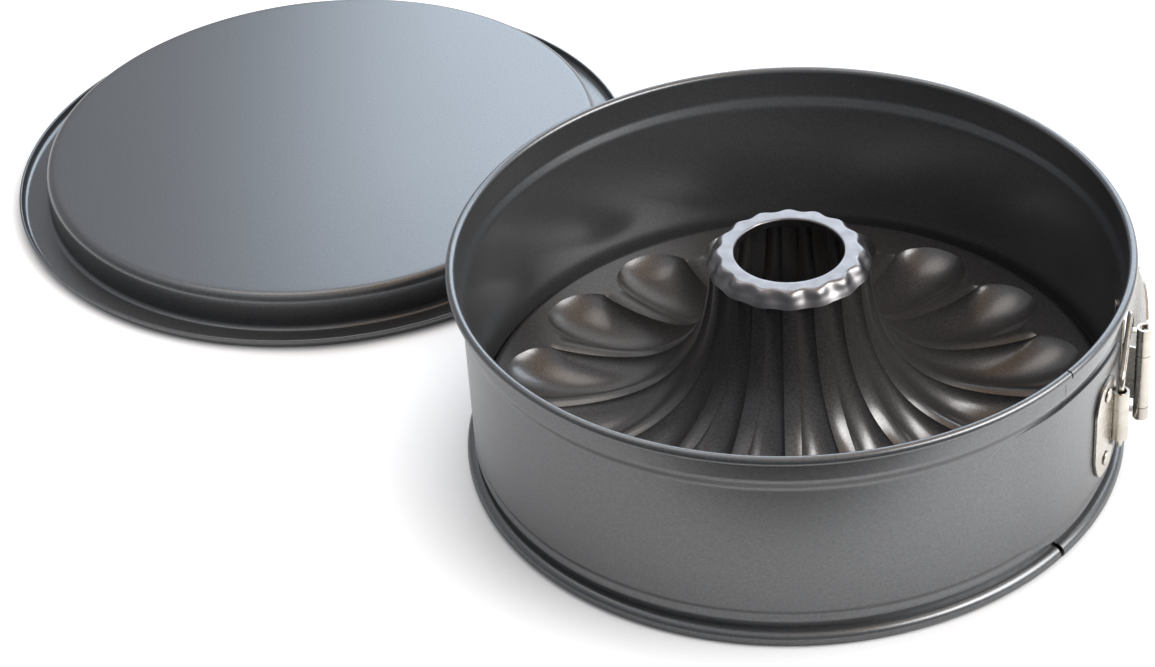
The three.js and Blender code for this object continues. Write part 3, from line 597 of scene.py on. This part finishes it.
def rivet_shell(azimuth, height, start, seat, headed):
    """Shank and a domed head outside; some have a flat head inside."""
    dome = arc((0, seat + RIVET_EDGE), (RIVET_HEAD, RIVET_DOME), 0, 89, steps=10)
    inside = [(POLE, start)]
    if headed:
        back = start - RIVET_INNER_RISE
        inside = [(POLE, back), (RIVET_INNER_EDGE, back), (RIVET_INNER_HEAD, start - RIVET_INNER_SIDE),
                  (RIVET_INNER_HEAD, start)]
    shank = [(RIVET_SHANK, start), (RIVET_SHANK, seat), (RIVET_HEAD, seat)]
    shape = turned(np.vstack([inside, shank, dome]), sides=40)
    ground = plan(0, azimuth, shape[..., 0], shape[..., 1])
    return tube_shell(np.concatenate([ground, shape[..., 2:] + height], axis=-1))


def catch_shells():
    """The leaf's half height falls off to both ends by the fourth power. Its eye rolls round the wire."""
    share = np.linspace(0, 1, 61)
    half = CATCH_HALF_HEIGHT * (1 - CATCH_TAPER * np.abs(2 * share - 1) ** 4)
    leaf = bent_leaf(CATCH - CATCH_HALF, CATCH + CATCH_HALF, CATCH_INNER, half)
    eye = knuckle(EYE, EYE_RADIUS, EYE_DIAMETER, EYE_ROOT, *EYE_SWEEP,
                  CLASP_HEIGHT - EYE_HALF_HEIGHT, CLASP_HEIGHT + EYE_HALF_HEIGHT)
    return [leaf, eye]


def bracket_shells():
    """The leaf's half height falls off by the cube of its length; the hinge's middle knuckle rolls back."""
    half = BRACKET_HALF_HEIGHT * (1 - BRACKET_TAPER * np.linspace(0, 1, 61) ** 3)
    leaf = bent_leaf(HINGE + BRACKET_START, HINGE + BRACKET_END, BRACKET_INNER, half)
    roll = knuckle(HINGE, HINGE_RADIUS, HINGE_DIAMETER, BRACKET_ROOT, *BRACKET_SWEEP, *BRACKET_ROLL)
    return [leaf, roll]


def lever_half(share):
    """Half height of the handle: swells by a sine from its neck, then rounds off as an ellipse to its tip."""
    swell = np.sin(np.pi / 2 * np.minimum(share / LEVER_WIDEST, 1))
    beyond = np.maximum((share - LEVER_WIDEST) / (1 - LEVER_WIDEST), 0)
    tip = LEVER_HALF_HEIGHT * np.sqrt(1 - (1 - LEVER_TIP ** 2) * beyond ** 2)
    return np.where(share < LEVER_WIDEST, LEVER_NECK + (LEVER_HALF_HEIGHT - LEVER_NECK) * swell, tip)


def lever_shells():
    """The handle, which bends outwards by a square towards its tip, two knuckles and two flat hooks."""
    share = np.linspace(0, 1, 81)
    bent = np.maximum((share - LEVER_LIFT_START) / (1 - LEVER_LIFT_START), 0)
    inner = HINGE_RADIUS + LEVER_STAND + LEVER_LIFT * bent ** 2
    handle = bent_leaf(HINGE + LEVER_START, HINGE + LEVER_END, inner, lever_half(share))
    rolls = [knuckle(HINGE, HINGE_RADIUS, HINGE_DIAMETER, LEVER_ROOT, *LEVER_SWEEP, low, high)
             for low, high in LEVER_ROLLS]
    side = WIRE_RADIUS * math.sin(math.radians(WIRE_TURN - HINGE)) - WIRE - HOOK_GAP
    edges = [plan(HINGE_RADIUS, HINGE, HOOK_REACH, along) for along in (side, side - HOOK_WIDTH)]
    flat = np.stack(edges, axis=1)
    hooks = [plate_shell(*(np.concatenate([flat, np.full((2, 2, 1), middle + offset)], axis=-1)
                           for offset in (HOOK_SHEET / 2, -HOOK_SHEET / 2))) for middle in HOOK_HEIGHTS]
    return [handle, *rolls, *hooks]


def pin_shell():
    """A round pin with crowned ends, upright in the hinge."""
    foot = arc((0, PIN_ENDS[0]), (PIN, PIN_CROWN), -89, 0, steps=6)
    head = arc((0, PIN_ENDS[1]), (PIN, PIN_CROWN), 0, 89, steps=6)
    shape = turned(np.vstack([foot, head]), sides=32)
    x, y = plan(HINGE_RADIUS, HINGE, 0, 0)
    return tube_shell(np.stack([shape[..., 1] + x, shape[..., 2] + y, shape[..., 0]], axis=-1))


def bail_point(radius, azimuth, height):
    """A corner of the wire's path, at a height above the clasp's middle."""
    return np.append(plan(radius, azimuth, 0, 0), CLASP_HEIGHT + height)


def bail_shell():
    """A round wire: down through the catch plate's eye, past both ends of the hinge, and turned in behind the
    lever's hooks; a circle carried along the path in a frame that keeps to the band's outward direction."""
    upper = [bail_point(WIRE_RADIUS, WIRE_TURN, WIRE_END_HEIGHT),
             bail_point(WIRE_RADIUS, WIRE_TURN, WIRE_HIGH),
             bail_point(EYE_RADIUS, EYE, WIRE_EYE_HEIGHT)]
    lower = [point * (1, 1, -1) + (0, 0, 2 * CLASP_HEIGHT) for point in upper[::-1]]
    path = dense(rounded(upper + lower, WIRE_BEND, steps=14), step=1.0)
    along = np.gradient(path, axis=0)
    along /= np.linalg.norm(along, axis=1, keepdims=True)
    outward = np.append(plan(1, (WIRE_TURN + EYE) / 2, 0, 0), 0)
    side = np.cross(along, outward)
    side /= np.linalg.norm(side, axis=1, keepdims=True)
    over = np.cross(side, along)
    turn = np.linspace(0, 2 * math.pi, 24, endpoint=False)[None, :, None]
    radius = np.full((len(path), 1, 1), WIRE)
    radius[[0, -1]] = WIRE_TIP
    return tube_shell(path[:, None] + radius * (side[:, None] * np.cos(turn) + over[:, None] * np.sin(turn)))


# Materials

def linear(code):
    """An sRGB hex colour as linear red, green, blue and full alpha."""
    srgb = np.array([int(code[i:i + 2], 16) for i in (1, 3, 5)]) / 255
    value = np.where(srgb <= 0.04045, srgb / 12.92, ((srgb + 0.055) / 1.055) ** 2.4)
    return (*value.tolist(), 1.0)


def add_node(tree, kind, settings=None, values=None, links=None, stops=()):
    """A node with its settings, its socket values, links from (node, output) to its inputs, and where it is a
    ramp its two stops, each a position and a hex colour."""
    node = tree.nodes.new(kind)
    for name, value in (settings or {}).items():
        setattr(node, name, value)
    for name, value in (values or {}).items():
        node.inputs[name].default_value = value
    for name, (source, output) in (links or {}).items():
        tree.links.new(source.outputs[output], node.inputs[name])
    for number, (position, code) in enumerate(stops):
        node.color_ramp.elements[number].position = position
        node.color_ramp.elements[number].color = linear(code)
    return node


def start_material(name):
    """A material with nothing but the piece's own coordinates, in metres."""
    material = bpy.data.materials.new(name)
    material.use_nodes = True
    tree = material.node_tree
    tree.nodes.clear()
    return material, tree, add_node(tree, "ShaderNodeTexCoord")


def coated_steel():
    """Grey non-stick coating, sprayed on sheet steel and baked. Metal flake under a matt binder: a satin
    sheen that turns bright towards the light, a speckle of 0.9 mm, drawn coarser than the real flake so that
    it shows, and a slight orange peel."""
    material, tree, place = start_material("sprayed_grey_non_stick")
    flake = add_node(tree, "ShaderNodeTexNoise",
                     values={"Scale": 1 / (0.9 * MM), "Detail": 3.0, "Roughness": 0.6},
                     links={"Vector": (place, "Object")})
    tone = add_node(tree, "ShaderNodeValToRGB", links={"Fac": (flake, "Fac")},
                    stops=[(0.3, "#606162"), (0.7, "#6f7071")])
    cloud = add_node(tree, "ShaderNodeTexNoise", values={"Scale": 1 / (45 * MM), "Detail": 2.0},
                     links={"Vector": (place, "Object")})
    gloss = add_node(tree, "ShaderNodeMapRange", values={"To Min": 0.28, "To Max": 0.3},
                     links={"Value": (cloud, "Fac")})
    peel = add_node(tree, "ShaderNodeBump", values={"Strength": 0.06, "Distance": 0.1 * MM},
                    links={"Height": (flake, "Fac")})
    shader = add_node(tree, "ShaderNodeBsdfPrincipled", values={"Metallic": 0.75},
                      links={"Base Color": (tone, "Color"), "Roughness": (gloss, "Result"),
                             "Normal": (peel, "Normal")})
    add_node(tree, "ShaderNodeOutputMaterial", links={"Surface": (shader, "BSDF")})
    return material


def dark_non_stick():
    """Dark brown-black non-stick, sprayed in two coats and baked. Satin gloss with a pebbled grain of 0.8 mm
    that breaks up the highlights."""
    material, tree, place = start_material("sprayed_dark_non_stick")
    grain = add_node(tree, "ShaderNodeTexNoise",
                     values={"Scale": 1 / (0.8 * MM), "Detail": 2.0, "Roughness": 0.55},
                     links={"Vector": (place, "Object")})
    tone = add_node(tree, "ShaderNodeValToRGB", links={"Fac": (grain, "Fac")},
                    stops=[(0.3, "#363433"), (0.72, "#504d4b")])
    gloss = add_node(tree, "ShaderNodeMapRange", values={"To Min": 0.3, "To Max": 0.38},
                     links={"Value": (grain, "Fac")})
    pebble = add_node(tree, "ShaderNodeBump", values={"Strength": 0.34, "Distance": 0.12 * MM},
                      links={"Height": (grain, "Fac")})
    shader = add_node(tree, "ShaderNodeBsdfPrincipled",
                      values={"Metallic": 0.5, "Coat Weight": 0.8, "Coat Roughness": 0.14, "Coat IOR": 1.55},
                      links={"Base Color": (tone, "Color"), "Roughness": (gloss, "Result"),
                             "Normal": (pebble, "Normal"), "Coat Normal": (pebble, "Normal")})
    add_node(tree, "ShaderNodeOutputMaterial", links={"Surface": (shader, "BSDF")})
    return material


def tinned_steel():
    """Tin-plated steel strip, rolled bright. A warm white metal with soft reflections, faint upright rolling
    marks 0.5 mm wide and a little handling wear in patches of 6 mm."""
    material, tree, place = start_material("rolled_tinplate")
    stretch = add_node(tree, "ShaderNodeMapping", values={"Scale": (1.0, 1.0, 0.06)},
                       links={"Vector": (place, "Object")})
    marks = add_node(tree, "ShaderNodeTexNoise", values={"Scale": 1 / (0.5 * MM), "Detail": 3.0},
                     links={"Vector": (stretch, "Vector")})
    wear = add_node(tree, "ShaderNodeTexNoise", values={"Scale": 1 / (6 * MM), "Detail": 4.0},
                    links={"Vector": (place, "Object")})
    tone = add_node(tree, "ShaderNodeValToRGB", links={"Fac": (wear, "Fac")},
                    stops=[(0.3, "#a8a298"), (0.7, "#bab5ac")])
    gloss = add_node(tree, "ShaderNodeMapRange", values={"To Min": 0.23, "To Max": 0.31},
                     links={"Value": (wear, "Fac")})
    rolling = add_node(tree, "ShaderNodeBump", values={"Strength": 0.04, "Distance": 0.05 * MM},
                       links={"Height": (marks, "Fac")})
    shader = add_node(tree, "ShaderNodeBsdfPrincipled", values={"Metallic": 1.0},
                      links={"Base Color": (tone, "Color"), "Roughness": (gloss, "Result"),
                             "Normal": (rolling, "Normal")})
    add_node(tree, "ShaderNodeOutputMaterial", links={"Surface": (shader, "BSDF")})
    return material


def spun_aluminium():
    """Bare aluminium cap, spun and crimped on. A dull pale grey, soft in its reflections, with tarnish in
    patches of 5 mm."""
    material, tree, place = start_material("spun_aluminium")
    wear = add_node(tree, "ShaderNodeTexNoise", values={"Scale": 1 / (5 * MM), "Detail": 3.0},
                    links={"Vector": (place, "Object")})
    tone = add_node(tree, "ShaderNodeValToRGB", links={"Fac": (wear, "Fac")},
                    stops=[(0.3, "#757272"), (0.7, "#858282")])
    shader = add_node(tree, "ShaderNodeBsdfPrincipled", values={"Metallic": 1.0, "Roughness": 0.34},
                      links={"Base Color": (tone, "Color")})
    add_node(tree, "ShaderNodeOutputMaterial", links={"Surface": (shader, "BSDF")})
    return material


# Studio, in metres

FLOOR_HALF = 6.0
FLOOR_DROP = -0.0002
SMOOTH = {"interpolation_type": "SMOOTHSTEP"}
MULTIPLY = {"operation": "MULTIPLY"}


def white_floor():
    """A pale table that stays white to the eye and keeps the shadow, with a painted contact shadow where
    ambient occlusion darkens its glow near the pan. In reflections it shows painted light, brighter on the
    right, painted shade close round the pan, and painted shade in dark grey towards the camera."""
    mesh = bpy.data.meshes.new("floor")
    corners = [(x * FLOOR_HALF, y * FLOOR_HALF, FLOOR_DROP) for x, y in ((-1, -1), (1, -1), (1, 1), (-1, 1))]
    mesh.from_pydata(corners, [], [(0, 1, 2, 3)])
    floor = bpy.data.objects.new("floor", mesh)
    bpy.context.scene.collection.objects.link(floor)
    material, tree, place = start_material("white_table")
    matt = add_node(tree, "ShaderNodeBsdfDiffuse", values={"Color": linear("#cfcfcf")})
    path = add_node(tree, "ShaderNodeLightPath")
    mirrored = add_node(tree, "ShaderNodeMath", {"operation": "MAXIMUM"},
                        links={0: (path, "Is Glossy Ray"), 1: (path, "Is Transmission Ray")})
    axes = add_node(tree, "ShaderNodeSeparateXYZ", links={"Vector": (place, "Object")})
    # Painted light: in reflections the table's glow grows towards the right, in place of window light falling
    # there.
    bright = add_node(tree, "ShaderNodeMapRange", SMOOTH,
                      {"From Min": 0.0, "From Max": 0.38, "To Min": 0.45, "To Max": 1.1},
                      {"Value": (axes, "X")})
    ground = add_node(tree, "ShaderNodeCombineXYZ", links={"X": (axes, "X"), "Y": (axes, "Y")})
    radius = add_node(tree, "ShaderNodeVectorMath", {"operation": "DISTANCE"}, {1: PAN * MM},
                      {0: (ground, "Vector")})
    # Painted shade: in reflections the table's glow falls to a tenth close round the pan.
    clear = add_node(tree, "ShaderNodeMapRange", SMOOTH, {"From Min": 0.125, "From Max": 0.15, "To Min": 0.1},
                     {"Value": (radius, "Value")})
    # The painted light on the right and the painted shade round the pan, together.
    painted_light_and_shade = add_node(tree, "ShaderNodeMath", MULTIPLY, links={0: (bright, "Result"), 1: (clear, "Result")})
    mirror = add_node(tree, "ShaderNodeMath", MULTIPLY, links={0: (mirrored, "Value"), 1: (painted_light_and_shade, "Value")})
    seen = add_node(tree, "ShaderNodeMath", {"operation": "MULTIPLY_ADD"}, {1: 0.64},
                    {0: (path, "Is Camera Ray"), 2: (mirror, "Value")})
    # Painted contact shadow: the glow darkens by ambient occlusion, to the power 1.8, close to the pan and
    # the flat base.
    shade = add_node(tree, "ShaderNodeAmbientOcclusion", {"samples": 8}, {"Distance": 0.055})
    painted_contact_shade = add_node(tree, "ShaderNodeMath", {"operation": "POWER"}, {1: 1.8}, {0: (shade, "AO")})
    lift = add_node(tree, "ShaderNodeMath", MULTIPLY, links={0: (painted_contact_shade, "Value"), 1: (seen, "Value")})
    glow = add_node(tree, "ShaderNodeEmission", values={"Color": linear("#ffffff")},
                    links={"Strength": (lift, "Value")})
    table = add_node(tree, "ShaderNodeAddShader", links={0: (matt, "BSDF"), 1: (glow, "Emission")})
    # Painted shade: in reflections the table turns dark grey towards the camera, so the band's front reflects
    # darkness.
    beyond = add_node(tree, "ShaderNodeMapRange", SMOOTH, {"From Min": -0.295, "From Max": -0.34},
                      {"Value": (axes, "Y")})
    away = add_node(tree, "ShaderNodeMath", MULTIPLY, links={0: (mirrored, "Value"), 1: (beyond, "Result")})
    dim = add_node(tree, "ShaderNodeBsdfDiffuse", values={"Color": linear("#383838")})
    both = add_node(tree, "ShaderNodeMixShader",
                    links={"Fac": (away, "Value"), 1: (table, "Shader"), 2: (dim, "BSDF")})
    add_node(tree, "ShaderNodeOutputMaterial", links={"Surface": (both, "Shader")})
    mesh.materials.append(material)


def studio_world():
    """A soft room, dim in front, brighter behind and above, and warm above on the right; the camera sees only
    the floor."""
    world = bpy.data.worlds.new("studio")
    bpy.context.scene.world = world
    world.use_nodes = True
    tree = world.node_tree
    tree.nodes.clear()
    place = add_node(tree, "ShaderNodeTexCoord")
    axes = add_node(tree, "ShaderNodeSeparateXYZ", links={"Vector": (place, "Generated")})
    depth = add_node(tree, "ShaderNodeMapRange", SMOOTH,
                     {"From Min": -0.7, "From Max": 0.6, "To Min": 0.26, "To Max": 0.55},
                     {"Value": (axes, "Y")})
    above = add_node(tree, "ShaderNodeMapRange", SMOOTH, {"From Min": 0.55, "From Max": 0.95},
                     {"Value": (axes, "Z")})
    strength = add_node(tree, "ShaderNodeMix", {"data_type": "FLOAT"}, {"B": 1.0},
                        {"Factor": (above, "Result"), "A": (depth, "Result")})
    right = add_node(tree, "ShaderNodeMapRange", SMOOTH, {"From Min": -0.25, "From Max": 0.3},
                     {"Value": (axes, "X")})
    warm = add_node(tree, "ShaderNodeMath", MULTIPLY, links={0: (above, "Result"), 1: (right, "Result")})
    tint = add_node(tree, "ShaderNodeMix", {"data_type": "RGBA"},
                    {"A": linear("#f2f6ff"), "B": linear("#e6c6a8")}, {"Factor": (warm, "Value")})
    sky = add_node(tree, "ShaderNodeBackground",
                   links={"Strength": (strength, "Result"), "Color": (tint, "Result")})
    add_node(tree, "ShaderNodeOutputWorld", links={"Surface": (sky, "Background")})


def softbox(name, place, aim, size, power, colour, soft=True):
    """An area lamp of a width and height; a soft one fades from its middle to its edge."""
    data = bpy.data.lights.new(name, "AREA")
    if soft:
        data.use_nodes = True
        tree = data.node_tree
        tree.nodes.clear()
        spot = add_node(tree, "ShaderNodeNewGeometry")
        out = add_node(tree, "ShaderNodeVectorMath", {"operation": "DISTANCE"}, {1: (0.5, 0.5, 0.0)},
                       {0: (spot, "Parametric")})
        fade = add_node(tree, "ShaderNodeMapRange", SMOOTH, {"From Min": 0.5, "From Max": 0.1},
                        {"Value": (out, "Value")})
        glow = add_node(tree, "ShaderNodeEmission", links={"Strength": (fade, "Result")})
        add_node(tree, "ShaderNodeOutputLight", links={"Surface": (glow, "Emission")})
    data.shape = "RECTANGLE"
    data.size, data.size_y = size
    data.energy = power
    data.color = linear(colour)[:3]
    lamp = bpy.data.objects.new(name, data)
    lamp.location = place
    lamp.rotation_mode = "QUATERNION"
    lamp.rotation_quaternion = (Vector(aim) - Vector(place)).to_track_quat("-Z", "Y")
    lamp.visible_camera = False
    bpy.context.scene.collection.objects.link(lamp)


bpy.context.scene.view_settings.view_transform = "Standard"
place_camera()
white_floor()
studio_world()
softbox("window", (0.54, 1.456, 0.92), (0.0, 0.1, 0.02), (1.95, 0.92), 26, "#dcebfa", soft=False)
softbox("side_window", (1.2, -0.3, 0.9), (0.2, -0.1, 0.0), (1.5, 1.25), 56, "#ffffff")
softbox("overhead", (-0.25, 0.35, 1.5), (0.1, 0.0, 0.0), (1.7, 1.3), 14, "#fff4e8")
softbox("fill", (0.95, -0.75, 1.1), (0.0, 0.0, 0.05), (1.0, 0.8), 25, "#ffffff")

GREY = coated_steel()
DARK = dark_non_stick()
TIN = tinned_steel()
DULL = spun_aluminium()

add_piece("band_sheet", band_shells(), PAN, GREY, "ring", ["band"])
add_piece("bundt_pressing", [bundt_shell()], PAN, DARK, "base", ["bundt_base"])
add_piece("collar_cap", [collar_shell()], PAN, DULL, "base", ["tube_collar"])
add_piece("flat_pressing", [flat_base_shell()], PLATE, GREY, "plate", ["flat_base"])
add_piece("catch_leaf", catch_shells(), PAN, TIN, "ring", ["catch_plate"], STRIP_BEVEL)
add_piece("bracket_leaf", bracket_shells(), PAN, TIN, "ring", ["hinge_bracket"], STRIP_BEVEL)
add_piece("lever_handle", lever_shells(), PAN, TIN, "lever", ["clasp_lever"], STRIP_BEVEL)
add_piece("lever_pin", [pin_shell()], PAN, TIN, "ring", ["hinge_pin"])
add_piece("bail_wire", [bail_shell()], PAN, TIN, "bail", ["wire_bail"])
for level, height in RIVET_HEIGHTS.items():
    for plate, rivet in (("catch", CATCH_RIVET), ("bracket", BRACKET_RIVET)):
        add_piece(f"{plate}_stud_{level}", [rivet_shell(height=height, **rivet)], PAN, TIN, "ring",
                  [f"{plate}_rivet_{level}"])
